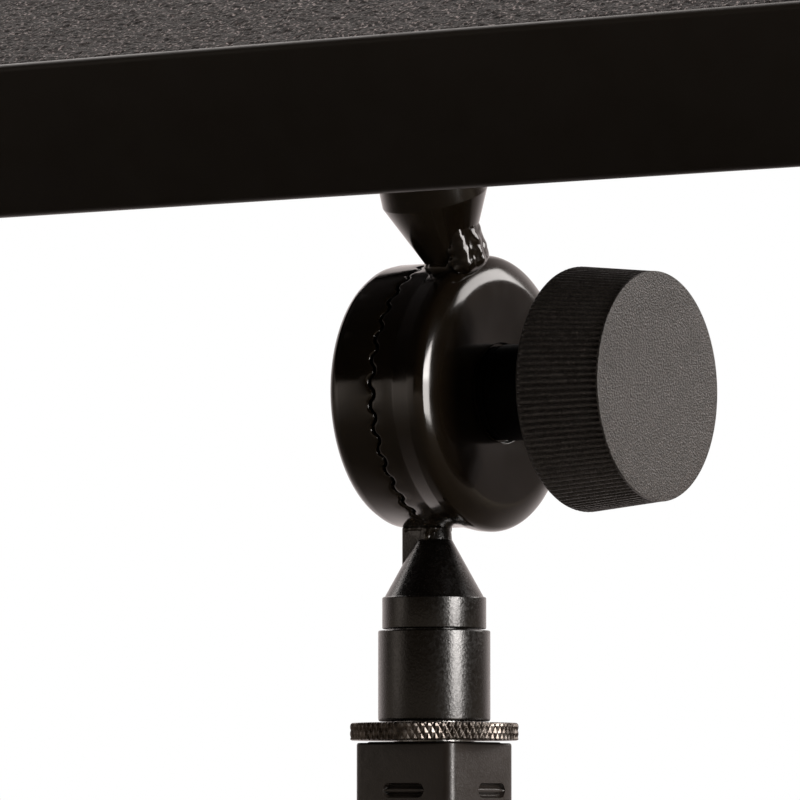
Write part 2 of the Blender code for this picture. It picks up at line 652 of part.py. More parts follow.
def make_leg(number, paints):
    """One leg tube, the screw that holds it on its spigot, and its rubber foot."""
    turn = leg_direction(number)
    name = number + 1
    lay = turn @ Matrix.Translation((0, 0, LEG_AXIS_Z)) @ ALONG_X
    outer = rounded_square(LEG_HALF, 0.0020)
    inner = rounded_square(LEG_HALF - LEG_WALL, 0.0008)
    leg = tube(f"leg_{name}", outer, inner, HUB_HALF + GAP, LEG_REACH, paints["satin_paint"], None, lay)
    place = turn @ Vector((HUB_HALF + SPIGOT_LENGTH / 2, 0, 0))
    leg_top = LEG_AXIS_Z + LEG_HALF
    cut(leg, drill(f"leg_hole_{name}", 0.0028, leg_top - 0.004, leg_top + 0.002, place))
    head_low = leg_top + GAP
    screw = [(0, 0.0220), (0.0025, 0.0220), (0.0025, head_low)]
    screw += [(0.0048, head_low), (0.0046, head_low + 0.0014)]
    screw += [(0.0034, head_low + 0.0026), (0, head_low + 0.0030)]
    turned(f"leg_screw_{name}", screw, paints["plated_steel"], None, SMALL_ROUND, Matrix.Translation(place))
    make_foot(name, turn, lay, paints)


def make_foot(name, turn, lay, paints):
    """Rubber cap over the leg's end, with a flat sole on the floor."""
    half = LEG_HALF + FOOT_WALL
    end = LEG_REACH + FOOT_LENGTH - FOOT_COVER
    foot = box(f"foot_{name}", (LEG_REACH - FOOT_COVER, -half, 0), (end, half, LEG_AXIS_Z + half),
               paints["rubber"], None, 0.0018)
    foot.data.transform(turn)
    pocket = rounded_square(LEG_HALF + GAP, 0.0020)
    pocket_start = LEG_REACH - FOOT_COVER - 0.004
    cut(foot, prism(f"foot_pocket_{name}", pocket, pocket_start, LEG_REACH + GAP, None, None, lay))


def main():
    clear_scene()
    paints = make_materials()
    clutch_centre = (0, 0, CLUTCH_HEIGHT)
    head = empty("head_swivel", clutch_centre)
    desk = empty("desk_pivot", clutch_centre, (TRAY_TILT, 0, 0))
    knob = empty("knob_axis", clutch_centre)
    ring = empty("ring_axis", clutch_centre)
    mast = empty("mast_axis")
    height = empty("height_knob_axis", (0, 0, HEIGHT_SCREW_Z))
    make_tray(paints, desk)
    make_channel(paints, desk)
    make_stem(paints, desk)
    make_front_cup(paints, desk)
    make_back_cup(paints, head)
    make_bolt(paints, head)
    make_spring(paints, head)
    make_neck(paints, head)
    make_sleeve(paints, head)
    make_lock_ring(paints, ring)
    make_tilt_knob(paints, knob)
    make_inner_mast(paints, mast)
    make_outer_mast(paints)
    make_height_clamp(paints, height)
    make_base_hub(paints)
    make_base_bolt(paints)
    for number in range(LEG_COUNT):
        make_leg(number, paints)


main()
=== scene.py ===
"""The looks of the music stand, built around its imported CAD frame. Metres, +Z up."""

import json
import math
import random

import bmesh
import bpy
from mathutils import Matrix, Vector, noise


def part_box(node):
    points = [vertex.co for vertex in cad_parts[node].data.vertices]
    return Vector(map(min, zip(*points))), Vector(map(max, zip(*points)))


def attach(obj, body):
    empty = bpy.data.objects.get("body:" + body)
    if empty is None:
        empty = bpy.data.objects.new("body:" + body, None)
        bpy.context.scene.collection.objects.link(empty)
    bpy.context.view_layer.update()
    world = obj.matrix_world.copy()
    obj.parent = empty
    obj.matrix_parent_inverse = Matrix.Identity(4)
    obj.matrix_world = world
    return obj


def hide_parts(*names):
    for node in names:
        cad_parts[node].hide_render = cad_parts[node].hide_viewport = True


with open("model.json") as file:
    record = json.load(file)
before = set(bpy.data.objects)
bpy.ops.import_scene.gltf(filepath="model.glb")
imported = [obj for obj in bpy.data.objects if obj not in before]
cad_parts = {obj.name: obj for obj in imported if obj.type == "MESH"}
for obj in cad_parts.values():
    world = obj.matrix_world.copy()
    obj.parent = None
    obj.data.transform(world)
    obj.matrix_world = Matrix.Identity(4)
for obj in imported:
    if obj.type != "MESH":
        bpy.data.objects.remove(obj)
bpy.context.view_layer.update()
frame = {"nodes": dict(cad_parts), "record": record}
NODES = frame["nodes"]
MOUNTS = {mount["name"]: mount for mount in frame["record"]["mounts"]}
MM = 0.001


# Places and sizes, read from the frame

def local_box(node, place):
    """Corners of a node's box in the axes of the given place."""
    back = place.inverted()
    points = [back @ vertex.co for vertex in NODES[node].data.vertices]
    low = Vector([min(p[axis] for p in points) for axis in range(3)])
    high = Vector([max(p[axis] for p in points) for axis in range(3)])
    return low, high


def middle(node):
    low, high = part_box(node)
    return (low + high) / 2


NORMAL = Vector(MOUNTS["desk_surface"]["axis"])
TILT = math.atan2(-NORMAL.y, NORMAL.z)
CLUTCH = Vector((0, 0, middle("back_cup").z))
HEAD = Matrix.Translation(CLUTCH)
DESK = HEAD @ Matrix.Rotation(TILT, 4, "X")
ALONG_X = Matrix.Rotation(math.radians(90), 4, "Y")
CLUTCH_AXIS = HEAD @ ALONG_X
SEAM_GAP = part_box("front_cup")[0].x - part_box("back_cup")[1].x
SEAM_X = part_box("back_cup")[1].x + SEAM_GAP / 2


# Mesh building

FILLET_STEPS = 4
SMOOTH_ANGLE = 35                 # degrees


def filleted(corners, closed=False):
    """Rounds an outline's corners. Each corner is (x, y) or (x, y, fillet radius)."""
    points = []
    count = len(corners)
    for index, corner in enumerate(corners):
        here = Vector(corner[:2])
        radius = corner[2] if len(corner) > 2 else 0
        if not radius or (not closed and index in (0, count - 1)):
            points.append(tuple(here))
            continue
        back = (Vector(corners[index - 1][:2]) - here).normalized()
        ahead = (Vector(corners[(index + 1) % count][:2]) - here).normalized()
        reach = radius / math.tan(back.angle(ahead) / 2)
        start = here + back * reach
        end = here + ahead * reach
        for step in range(FILLET_STEPS + 1):
            t = step / FILLET_STEPS
            points.append(tuple((1 - t) ** 2 * start + 2 * t * (1 - t) * here + t * t * end))
    return points


def turned(profile, segments, place=Matrix(), warp=None):
    """Turns (radius, height) points about Z into vertices and faces, closed at the axis or as a ring."""
    solid = profile[0][0] == 0 and profile[-1][0] == 0
    vertices = []
    rings = []
    for radius, height in profile:
        steps = 1 if radius == 0 else segments
        rings.append(range(len(vertices), len(vertices) + steps))
        for step in range(steps):
            angle = 2 * math.pi * step / segments
            r, h = warp(radius, height, angle) if warp and radius else (radius, height)
            vertices.append(place @ Vector((r * math.cos(angle), r * math.sin(angle), h)))
    pairs = list(zip(rings, rings[1:]))
    if not solid:
        pairs.append((rings[-1], rings[0]))
    faces = []
    for low, high in pairs:
        for step in range(segments):
            after = (step + 1) % segments
            corners = (low[step % len(low)], low[after % len(low)],
                       high[after % len(high)], high[step % len(high)])
            faces.append(tuple(dict.fromkeys(corners)))
    return vertices, faces


def lofted(rings, ring=False):
    """Joins rings with the same number of points: capped at both ends, or closed on itself."""
    vertices = [Vector(point) for outline in rings for point in outline]
    count = len(rings[0])
    faces = []
    last = len(rings) if ring else len(rings) - 1
    for level in range(last):
        low = level * count
        high = (level + 1) % len(rings) * count
        for step in range(count):
            after = (step + 1) % count
            faces.append((low + step, low + after, high + after, high + step))
    if not ring:
        faces.append(tuple(range(count)))
        faces.append(tuple(range((len(rings) - 1) * count, len(rings) * count)))
    return vertices, faces


def rounded_rectangle(half_x, half_y, radius, steps=6):
    """Counter-clockwise outline of a rectangle with round corners."""
    points = []
    for corner in range(4):
        facing = math.radians(45 + 90 * corner)
        across = math.copysign(half_x - radius, math.cos(facing))
        along = math.copysign(half_y - radius, math.sin(facing))
        for step in range(steps + 1):
            angle = facing - math.pi / 4 + math.pi / 2 * step / steps
            points.append((across + radius * math.cos(angle), along + radius * math.sin(angle)))
    return points


def at_height(outline, height, place=Matrix()):
    return [place @ Vector((x, y, height)) for x, y in outline]


def shade(data, smooth_angle=SMOOTH_ANGLE):
    """Smooth shading that keeps every edge sharper than the given angle."""
    data.shade_smooth()
    data.set_sharp_from_angle(angle=math.radians(smooth_angle))


def to_mesh(name, shape, smooth_angle=SMOOTH_ANGLE):
    """Makes a mesh from vertices and faces, with outward faces."""
    vertices, faces = shape
    data = bpy.data.meshes.new(name)
    data.from_pydata(vertices, [], faces)
    mesh = bmesh.new()
    mesh.from_mesh(data)
    bmesh.ops.recalc_face_normals(mesh, faces=mesh.faces)
    mesh.to_mesh(data)
    mesh.free()
    shade(data, smooth_angle)
    return data


def add_object(name, data):
    made = bpy.data.objects.new(name, data)
    bpy.context.scene.collection.objects.link(made)
    return made


def add_piece(name, shape, finish, body, slot, *nodes, smooth_angle=SMOOTH_ANGLE):
    """A visible piece: its finish, the body it rides on and the CAD nodes it stands for."""
    data = shape if isinstance(shape, bpy.types.Mesh) else to_mesh(name, shape, smooth_angle)
    data.materials.clear()
    data.materials.append(finish)
    made = add_object(name, data)
    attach(made, body)
    if nodes:
        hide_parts(*nodes)
    return made


def apply_modifiers(made):
    """Bakes an object's modifiers into its mesh."""
    graph = bpy.context.evaluated_depsgraph_get()
    data = bpy.data.meshes.new_from_object(made.evaluated_get(graph))
    made.modifiers.clear()
    made.data = data
    return made


def carve(made, cutters, operation="DIFFERENCE"):
    """Cuts each cutter out of a piece, or joins it on, and deletes the cutter."""
    for cutter in cutters:
        cutting = made.modifiers.new("cut", "BOOLEAN")
        cutting.operation = operation
        cutting.solver = "EXACT"
        cutting.object = cutter
        bpy.context.view_layer.update()
        apply_modifiers(made)
        bpy.data.objects.remove(cutter, do_unlink=True)
    return made


WELD_DISTANCE = 0.002 * MM        # under which two vertices of a CAD mesh are one
FLAT_ANGLE = 1                    # degrees, under which two faces of a CAD mesh are one


def refined(node, finish, body, slot, bevel, segments=3):
    """A CAD node's own shape with its edges rounded."""
    mesh = bmesh.new()
    mesh.from_mesh(NODES[node].data)
    bmesh.ops.remove_doubles(mesh, verts=mesh.verts, dist=WELD_DISTANCE)
    flat = math.radians(FLAT_ANGLE)
    bmesh.ops.dissolve_limit(mesh, angle_limit=flat, verts=mesh.verts, edges=mesh.edges)
    data = bpy.data.meshes.new(node + "_body")
    mesh.to_mesh(data)
    mesh.free()
    data.shade_smooth()
    made = add_piece(data.name, data, finish, body, slot, node)
    rounding = made.modifiers.new("round_edges", "BEVEL")
    rounding.width = bevel
    rounding.segments = segments
    rounding.limit_method = "ANGLE"
    rounding.angle_limit = math.radians(SMOOTH_ANGLE)
    rounding.use_clamp_overlap = True
    shading = made.modifiers.new("even_shading", "WEIGHTED_NORMAL")
    shading.keep_sharp = False
    return made


# Materials

class Finish:
    """A Principled material whose colour, roughness and relief come from textures in object space."""

    def __init__(self, name, colour, roughness, metallic=0.0, specular=0.5, sheen=0.0):
        self.material = bpy.data.materials.new(name)
        self.material.use_nodes = True
        self.nodes = self.material.node_tree.nodes
        self.links = self.material.node_tree.links
        self.shader = self.nodes["Principled BSDF"]
        self.set(self.shader, "Base Color", (*colour, 1))
        self.set(self.shader, "Roughness", roughness)
        self.set(self.shader, "Metallic", metallic)
        self.set(self.shader, "Specular IOR Level", specular)
        self.set(self.shader, "Sheen Weight", sheen)
        self.place = self.nodes.new("ShaderNodeTexCoord").outputs["Object"]
        self.relief = None

    @staticmethod
    def set(node, socket, value):
        node.inputs[socket].default_value = value

    def stretched(self, stretch):
        mapping = self.nodes.new("ShaderNodeMapping")
        self.set(mapping, "Scale", stretch)
        self.links.new(self.place, mapping.inputs["Vector"])
        return mapping.outputs["Vector"]

    def cloud(self, size, detail, stretch=None):
        """Smooth noise with features of about the given size."""
        texture = self.nodes.new("ShaderNodeTexNoise")
        self.set(texture, "Scale", 1 / size)
        self.set(texture, "Detail", detail)
        place = self.stretched(stretch) if stretch else self.place
        self.links.new(place, texture.inputs["Vector"])
        return texture.outputs["Fac"]

    def cells(self, size):
        """Distance from the middle of the nearest cell, with cells of about the given size."""
        texture = self.nodes.new("ShaderNodeTexVoronoi")
        self.set(texture, "Scale", 1 / size)
        self.links.new(self.place, texture.inputs["Vector"])
        return texture.outputs["Distance"]

    def ranged(self, source, low, high, to_low, to_high):
        """Maps low to to_low and high to to_high, and holds what lies beyond."""
        mapping = self.nodes.new("ShaderNodeMapRange")
        self.set(mapping, "From Min", low)
        self.set(mapping, "From Max", high)
        self.set(mapping, "To Min", to_low)
        self.set(mapping, "To Max", to_high)
        self.links.new(source, mapping.inputs["Value"])
        return mapping.outputs["Result"]

    def blended(self, factor, first, second):
        """Mixes two colours, of which either may be a socket."""
        mix = self.nodes.new("ShaderNodeMix")
        mix.data_type = "RGBA"
        self.links.new(factor, mix.inputs["Factor"])
        for slot, colour in ((6, first), (7, second)):
            if isinstance(colour, tuple):
                mix.inputs[slot].default_value = (*colour, 1)
            else:
                self.links.new(colour, mix.inputs[slot])
        return mix.outputs[2]

    def colour(self, source):
        self.links.new(source, self.shader.inputs["Base Color"])

    def roughness(self, source):
        self.links.new(source, self.shader.inputs["Roughness"])

    def bump(self, source, height, strength):
        """Adds relief of about the given height to what is there already."""
        made = self.nodes.new("ShaderNodeBump")
        self.set(made, "Distance", height)
        self.set(made, "Strength", strength)
        self.links.new(source, made.inputs["Height"])
        if self.relief:
            self.links.new(self.relief, made.inputs["Normal"])
        self.relief = made.outputs["Normal"]
        self.links.new(self.relief, self.shader.inputs["Normal"])


def satin_paint():
    """Powder coat: faint orange peel and a fine grain, a little uneven in gloss."""
    made = Finish("satin_paint", (0.0052, 0.0036, 0.0022), 0.40, specular=0.30)
    tone = made.ranged(made.cloud(30 * MM, 3), 0.35, 0.65, 0, 1)
    made.colour(made.blended(tone, (0.0046, 0.0031, 0.0018), (0.0058, 0.0041, 0.0026)))
    made.roughness(made.ranged(made.cloud(6 * MM, 3), 0.3, 0.7, 0.36, 0.45))
    made.bump(made.cloud(1.6 * MM, 2), 0.010 * MM, 0.5)
    made.bump(made.cloud(0.30 * MM, 2), 0.006 * MM, 0.5)
    return made.material


def gloss_paint():
    """Dipped gloss black: smooth, with a slow waviness where the paint ran."""
    made = Finish("gloss_paint", (0.0052, 0.0035, 0.0019), 0.10, specular=0.5)
    made.roughness(made.ranged(made.cloud(4 * MM, 3), 0.3, 0.7, 0.11, 0.17))
    made.bump(made.cloud(5 * MM, 1), 0.030 * MM, 0.5)
    made.bump(made.cloud(0.8 * MM, 2), 0.003 * MM, 0.5)
    return made.material


def sleeve_finish():
    """Black oxide on turned steel: a sandy sheen with fine turning marks."""
    made = Finish("black_oxide", (0.0012, 0.0008, 0.0005), 0.26, specular=0.6)
    made.roughness(made.ranged(made.cloud(0.7 * MM, 3), 0.3, 0.7, 0.20, 0.32))
    made.bump(made.cells(0.46 * MM), 0.022 * MM, 0.8)
    made.bump(made.cloud(0.6 * MM, 1, (0.02, 0.02, 3)), 0.004 * MM, 0.5)
    return made.material


def tube_finish():
    """Semi-gloss paint on square tube, with a sandy grain."""
    made = Finish("tube_paint", (0.0080, 0.0058, 0.0044), 0.36, specular=0.5)
    tone = made.ranged(made.cloud(14 * MM, 4), 0.3, 0.7, 0, 1)
    made.colour(made.blended(tone, (0.0070, 0.0050, 0.0038), (0.0092, 0.0068, 0.0052)))
    made.roughness(made.ranged(made.cloud(1.2 * MM, 3), 0.3, 0.7, 0.34, 0.44))
    made.bump(made.cells(0.46 * MM), 0.022 * MM, 0.8)
    return made.material


def knurl_finish():
    """Blackened steel with brighter patches where it is worn."""
    made = Finish("knurled_steel", (0.090, 0.078, 0.068), 0.26, metallic=1.0)
    worn = made.cloud(1.2 * MM, 3)
    bright = made.ranged(worn, 0.45, 0.75, 0, 1)
    made.colour(made.blended(bright, (0.070, 0.060, 0.052), (0.200, 0.180, 0.165)))
    made.roughness(made.ranged(worn, 0.3, 0.7, 0.24, 0.36))
    made.bump(made.cloud(0.25 * MM, 2), 0.006 * MM, 0.5)
    return made.material


def zinc_finish():
    """Bright zinc plate with cloudy patches and fine drawing lines."""
    made = Finish("zinc_plate", (0.50, 0.50, 0.50), 0.32, metallic=1.0)
    patches = made.cloud(3 * MM, 4)
    tone = made.ranged(patches, 0.3, 0.7, 0, 1)
    made.colour(made.blended(tone, (0.40, 0.41, 0.43), (0.62, 0.61, 0.58)))
    made.roughness(made.ranged(patches, 0.3, 0.7, 0.24, 0.42))
    made.bump(made.cloud(0.4 * MM, 2, (1, 1, 0.1)), 0.005 * MM, 0.5)
    return made.material


def knob_finish():
    """Moulded plastic with a spark-eroded grain."""
    made = Finish("knob_plastic", (0.016, 0.013, 0.011), 0.50, specular=0.6)
    speck = made.ranged(made.cloud(0.42 * MM, 2), 0.38, 0.66, 0, 1)
    made.colour(made.blended(speck, (0.0035, 0.0026, 0.0019), (0.030, 0.0255, 0.0225)))
    made.roughness(made.ranged(made.cloud(5 * MM, 3), 0.3, 0.7, 0.44, 0.54))
    made.bump(made.cells(0.42 * MM), 0.110 * MM, 1.0)
    made.bump(made.cloud(0.25 * MM, 2), 0.020 * MM, 0.6)
    return made.material


def foam_finish():
    """Open-cell foam: pores painted dark as shade, pale cell walls, and a few painted glints where cells
    would catch the light.
    """
    made = Finish("foam", (0.022, 0.018, 0.017), 0.85, specular=0.18, sheen=0.03)
    # Pore mask: raises the cell walls in the relief and darkens the pores between them with painted shade.
    pore_relief_and_shade = made.ranged(made.cells(1.2 * MM), 0.15, 0.75, 0, 1)
    base = made.blended(pore_relief_and_shade, (0.0026, 0.0019, 0.0017), (0.017, 0.0138, 0.0130))
    # Painted glints: a few specks painted pale, where cells would catch the light.
    painted_glint = made.ranged(made.cloud(0.48 * MM, 2, (1, 0.6, 0.6)), 0.56, 0.70, 0, 1)
    patch = made.ranged(made.cloud(9 * MM, 3), 0.3, 0.7, 0, 0.3)
    toned = made.blended(patch, base, (0.012, 0.0098, 0.0094))
    made.colour(made.blended(painted_glint, toned, (0.20, 0.172, 0.168)))
    made.bump(pore_relief_and_shade, 0.35 * MM, 1.0)
    made.bump(made.cloud(0.5 * MM, 3), 0.22 * MM, 0.9)
    return made.material


def painted_shade_black():
    """Near-black painted shade for the thrust washer and the hub behind the tilt knob, which sit in the
    clutch's shade: darker than the hub's own plastic and the washer's plated steel.
    """
    made = Finish("painted_shade_black", (0.0010, 0.0007, 0.0006), 0.60, specular=0.12)
    made.roughness(made.ranged(made.cloud(3 * MM, 3), 0.3, 0.7, 0.52, 0.68))
    made.bump(made.cloud(0.5 * MM, 3), 0.010 * MM, 0.5)
    return made.material


def rubber_finish():
    """Dark rubber with a little dust."""
    made = Finish("rubber", (0.018, 0.017, 0.016), 0.80, specular=0.3)
    dust = made.ranged(made.cloud(8 * MM, 4), 0.45, 0.75, 0, 0.5)
    made.colour(made.blended(dust, (0.014, 0.013, 0.013), (0.040, 0.038, 0.036)))
    made.roughness(made.ranged(made.cloud(4 * MM, 3), 0.3, 0.7, 0.72, 0.90))
    made.bump(made.cloud(0.5 * MM, 3), 0.03 * MM, 0.6)
    return made.material


def nylon_finish():
    """Moulded nylon of the bushing and the height knob."""
    made = Finish("nylon", (0.012, 0.011, 0.010), 0.48, specular=0.45)
    made.roughness(made.ranged(made.cloud(3 * MM, 3), 0.3, 0.7, 0.42, 0.56))
    made.bump(made.cloud(0.45 * MM, 3), 0.015 * MM, 0.6)
    return made.material


FINISH = {
    "satin": satin_paint(),
    "gloss": gloss_paint(),
    "oxide": sleeve_finish(),
    "tube": tube_finish(),
    "knurl": knurl_finish(),
    "zinc": zinc_finish(),
    "knob": knob_finish(),
    "foam": foam_finish(),
    "rubber": rubber_finish(),
    "nylon": nylon_finish(),
    # near-black painted shade for the parts in the clutch's shade
    "matt": painted_shade_black(),
}


# Tray

SHEET = 1.5 * MM
SHEET_DROP = 0.3 * MM             # of the sheet's top below the foam's underside
FOLD = 1.2 * MM                   # rounding of the lip's outer edge
LIP_EDGE = 0.25 * MM              # chamfer of the lip's inner edge
HEM_R = 1.5 * MM                  # of the hem rolled inward along the apron's lower edge
HEM_HEIGHT = 5 * MM
HEM_EDGE = 0.3 * MM               # chamfer of the hem's inner edge
CORNER = 3.0 * MM                 # radius of the pan's corners in plan
LEAST_CORNER = 0.6 * MM           # which it keeps however far in the outline lies
SLIT_WIDTH = 0.5 * MM
SLIT_TOP = 9 * MM                 # middle of the slit's round relief, from the pan's top
SLIT_RELIEF_R = 1.2 * MM
SLIT_REACH = 3 * MM               # of the blade that cuts it, to either side of the corner


def pan_profile(half_height, recess):
    """Half section of the pan as (inset, height), from the sheet's top over the lip to its underside."""
    points = [(SHEET, half_height - recess)]
    points += [(SHEET, half_height - LIP_EDGE), (SHEET - LIP_EDGE, half_height)]
    for step in range(7):
        angle = math.pi / 2 * step / 6
        points.append((FOLD * (1 - math.sin(angle)), half_height - FOLD * (1 - math.cos(angle))))
    for step in range(13):
        angle = math.pi * step / 12
        points.append((HEM_R * (1 - math.cos(angle)), -half_height + HEM_R * (1 - math.sin(angle))))
    hem_top = -half_height + HEM_HEIGHT + HEM_EDGE
    points += [(2 * HEM_R, -half_height + HEM_HEIGHT), (2 * HEM_R - HEM_EDGE, hem_top), (SHEET, hem_top)]
    points.append((SHEET, half_height - recess - SHEET))
    return points


def make_tray_pan():
    """Pan with a lip round its foam, rounded edges and a relief slit at each lower corner."""
    low, high = local_box("tray_pan", DESK)
    foam_low = local_box("foam_pad", DESK)[0]
    half = (high - low) / 2
    centre = DESK @ Matrix.Translation((low + high) / 2)
    rings = []
    for inset, height in pan_profile(half.z, high.z - foam_low.z + SHEET_DROP):
        corner = max(CORNER - inset, LEAST_CORNER)
        outline = rounded_rectangle(half.x - inset, half.y - inset, corner, 5)
        rings.append(at_height(outline, height, centre))
    pan = add_piece("tray_pan_sheet", lofted(rings), FINISH["satin"], "desk", "satin_paint", "tray_pan")
    slits = []
    for side in (-1, 1):
        for edge in (-1, 1):
            slits.append(corner_slit(centre, half, side, edge))
    carve(pan, slits)
    shade(pan.data)


def corner_slit(centre, half, side, edge):
    """A thin upright blade across one corner of the apron, with a round relief at its top."""
    facing = math.atan2(edge, side)
    at_corner = Matrix.Translation((side * (half.x - CORNER), edge * (half.y - CORNER), 0))
    place = centre @ at_corner @ Matrix.Rotation(facing, 4, "Z")
    top = half.z - SLIT_TOP
    bottom = -half.z - 2 * MM
    outline = [(-SLIT_WIDTH / 2, bottom), (SLIT_WIDTH / 2, bottom)]
    for step in range(9):
        angle = math.radians(-60 + 300 * step / 8)
        outline.append((SLIT_RELIEF_R * math.cos(angle), top + SLIT_RELIEF_R * math.sin(angle)))
    upright = Matrix(((0, 0, 1, 0), (1, 0, 0, 0), (0, 1, 0, 0), (0, 0, 0, 1)))
    rings = [at_height(outline, depth, place @ upright) for depth in (-SLIT_REACH, CORNER + SLIT_REACH)]
    return add_object("slit", to_mesh("slit", lofted(rings)))


FOAM_PITCH = 0.7 * MM
FOAM_EDGE = 0.5 * MM              # how far the pad's upper edge drops
FOAM_TUCK = 0.2 * MM              # by which the pad reaches into the lips
FOAM_LIFT = 0.1 * MM              # of its underside
WIDE_PORE = 2.0 * MM
FINE_PORE = 1.3 * MM
SWELL_WIDTH = 45 * MM
PORE_DEPTH = 0.38 * MM
SWELL_HEIGHT = 0.06 * MM
FOAM_SINK = 0.12 * MM             # of the middle of the relief below the pad's top


def foam_relief(x, y):
    """Height of the pores, which are longer along y, and of the slow swells of a glued pad."""
    wide = noise.noise(Vector((x, 0.5 * y, 0)) / WIDE_PORE)
    fine = noise.noise(Vector((x, 0.6 * y, 0.1)) / FINE_PORE)
    pore = wide + 1.3 * fine
    swell = noise.noise(Vector((x, y, 0.3)) / SWELL_WIDTH)
    return PORE_DEPTH * pore + SWELL_HEIGHT * swell - FOAM_SINK


def make_foam():
    """Foam pad: a fine sheet whose top follows the pores, let in between the lips."""
    low, high = local_box("foam_pad", DESK)
    low.x, low.y = low.x - FOAM_TUCK, low.y - FOAM_TUCK
    high.x, high.y = high.x + FOAM_TUCK, high.y + FOAM_TUCK
    across = int((high.x - low.x) / FOAM_PITCH)
    along = int((high.y - low.y) / FOAM_PITCH)
    vertices = []
    faces = []
    for row in range(along + 1):
        for column in range(across + 1):
            x = low.x + (high.x - low.x) * column / across
            y = low.y + (high.y - low.y) * row / along
            border = min(x - low.x, high.x - x, y - low.y, high.y - y)
            drop = FOAM_EDGE * max(0, 1 - border / (2 * FOAM_EDGE)) ** 2
            vertices.append(DESK @ Vector((x, y, high.z + foam_relief(x, y) - drop)))
    width = across + 1
    for row in range(along):
        for column in range(across):
            start = row * width + column
            faces.append((start, start + 1, start + width + 1, start + width))
    border = list(range(across)) + [row * width + across for row in range(along)]
    border += [along * width + column for column in range(across, 0, -1)]
    border += [row * width for row in range(along, 0, -1)]
    base = len(vertices)
    back = DESK.inverted()
    for index in border:
        point = back @ vertices[index]
        vertices.append(DESK @ Vector((point.x, point.y, low.z + FOAM_LIFT)))
    count = len(border)
    for step in range(count):
        after = (step + 1) % count
        faces.append((border[after], border[step], base + step, base + after))
    faces.append(tuple(range(base + count - 1, base - 1, -1)))
    pad = add_piece("foam_top", (vertices, faces), FINISH["foam"], "desk", "foam", "foam_pad",
                    smooth_angle=80)


# Clutch

TEETH = 36
TOOTH = 1.05 * MM                 # height of the wavy teeth, crest to root
TOOTH_FLATNESS = 1.6              # of the wave's crests and roots
TOOTH_ROOT_R = 18 * MM            # inner end of the teeth
TOOTH_FULL_R = 26 * MM            # radius at which they reach their full height
TOOTH_BAND = 2.5 * MM             # over which the wave dies out behind the seam
TOOTH_SEAM = 0.55 * MM            # clearance left in the mesh
CUP_SEGMENTS = TEETH * 12
CUP_BORE = 4.4 * MM
CUP_RECESS = 1.4 * MM             # of the seam face inside the teeth
RIM_R = 2.2 * MM                  # rounding of the front cup's rim
SHOULDER_R = 8.7 * MM             # of the shoulder it runs into
MEETING = math.radians(55)        # slope at which the two meet
RIM_FLARE = 0.35 * MM             # of the visible rim beyond the CAD cup
FACE_INSET = 0.3 * MM
DISH_R = 9.8 * MM                 # of the shallow dish in the front cup's face
DISH_DEPTH = 0.9 * MM


def tooth_wave(angle):
    return TOOTH / 2 * math.tanh(TOOTH_FLATNESS * math.sin(TEETH * angle)) / math.tanh(TOOTH_FLATNESS)


def toothed(seam):
    """A warp that waves the seam face and lets the wave die out over the band behind it."""
    def warp(radius, height, angle):
        depth = abs(height - seam) / TOOTH_BAND
        if depth > 1 or radius < TOOTH_ROOT_R - 0.1 * MM:
            return radius, height
        return radius, height + tooth_wave(angle) * (1 - depth) * min(1, radius / TOOTH_FULL_R)
    return warp


def round_radius(node):
    """Radius of a node that is turned about the clutch's axis or a line along X."""
    low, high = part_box(node)
    return (high.z - low.z) / 2


def on_arc(middle, radius, angle):
    return middle[0] + radius * math.cos(angle), middle[1] + radius * math.sin(angle)


def make_back_cup():
    """Plain cup with a rounded back edge and teeth on its seam face."""
    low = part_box("back_cup")[0]
    radius = round_radius("back_cup")
    seam = SEAM_X - TOOTH_SEAM / 2
    floor = seam - CUP_RECESS
    corners = [(CUP_BORE, low.x, 0.2 * MM), (radius, low.x, 3.1 * MM)]
    corners += [(radius, seam - 3 * MM), (radius, seam, 0.9 * MM), (22 * MM, seam)]
    corners += [(TOOTH_ROOT_R, seam), (TOOTH_ROOT_R, floor), (CUP_BORE, floor)]
    shape = turned(filleted(corners, True), CUP_SEGMENTS, CLUTCH_AXIS, toothed(seam))
    add_piece("back_cup_shell", shape, FINISH["gloss"], "head", "gloss_paint", "back_cup")


def make_front_cup():
    """Toothed band that flares to a round rim, then a full shoulder and a flat face with a shallow dish."""
    radius = round_radius("back_cup")
    rim = round_radius("front_cup") + RIM_FLARE
    seam = SEAM_X + TOOTH_SEAM / 2
    floor = seam + CUP_RECESS
    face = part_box("front_cup")[1].x - FACE_INSET
    dish = face - DISH_DEPTH
    inward = SHOULDER_R - RIM_R
    rim_middle = (rim - RIM_R, face - SHOULDER_R + inward * math.sin(MEETING))
    shoulder_middle = (rim_middle[0] - inward * math.cos(MEETING), face - SHOULDER_R)
    corners = [(TOOTH_ROOT_R, seam), (22 * MM, seam), (radius, seam, 0.7 * MM), (radius, seam + 3 * MM)]
    corners.append((radius + 0.05 * MM, SEAM_X + 5 * MM, 3 * MM))
    corners.append((rim - 0.12 * MM, rim_middle[1] - 1.6 * MM, 1.2 * MM))
    for angle in range(-3, 57, 6):
        corners.append(on_arc(rim_middle, RIM_R, math.radians(angle)))
    for step in range(13):
        turn = MEETING + (math.pi / 2 - MEETING) * step / 12
        corners.append(on_arc(shoulder_middle, SHOULDER_R, turn))
    corners += [(DISH_R, face, 0.2 * MM), (DISH_R - 0.2 * MM, dish), (CUP_BORE, dish)]
    corners += [(CUP_BORE, floor), (TOOTH_ROOT_R, floor)]
    shape = turned(filleted(corners, True), CUP_SEGMENTS, CLUTCH_AXIS, toothed(seam))
    add_piece("front_cup_shell", shape, FINISH["gloss"], "desk", "gloss_paint", "front_cup")


